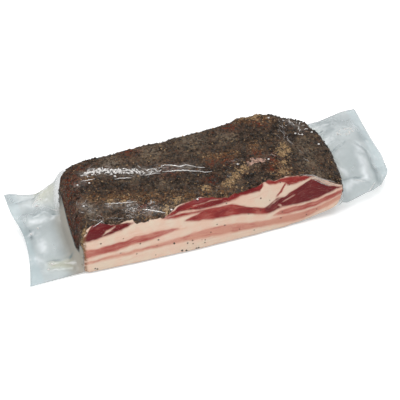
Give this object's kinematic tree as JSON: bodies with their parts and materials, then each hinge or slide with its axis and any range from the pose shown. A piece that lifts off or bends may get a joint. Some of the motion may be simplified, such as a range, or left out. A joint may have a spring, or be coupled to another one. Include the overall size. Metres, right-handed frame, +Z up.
{
  "type": "vacuum-packed slab of peppered cured pork (guanciale)",
  "caption": "Long slab of peppered cured pork with a cut face of fat and lean bands, sealed in a clear vacuum bag whose flat, creased film ends stand out at both sides.",
  "frame": {"origin": "middle of the pack's bounding box, on the plane it rests on", "axes": "+X along the slab from the short bag end to the long one, +Y from the cut face to the back, +Z up out of the rind"},
  "size_m": [0.394, 0.1238, 0.0665],
  "materials": {
    "packed_pork": "cured pork under tight clear film",
    "film": "clear, glossy and creased",
    "pepper": "cracked black pepper, dull and rough"
  },
  "bodies": {
    "root": {"vacuum_pack": "packed_pork"}
  },
  "joints": []
}
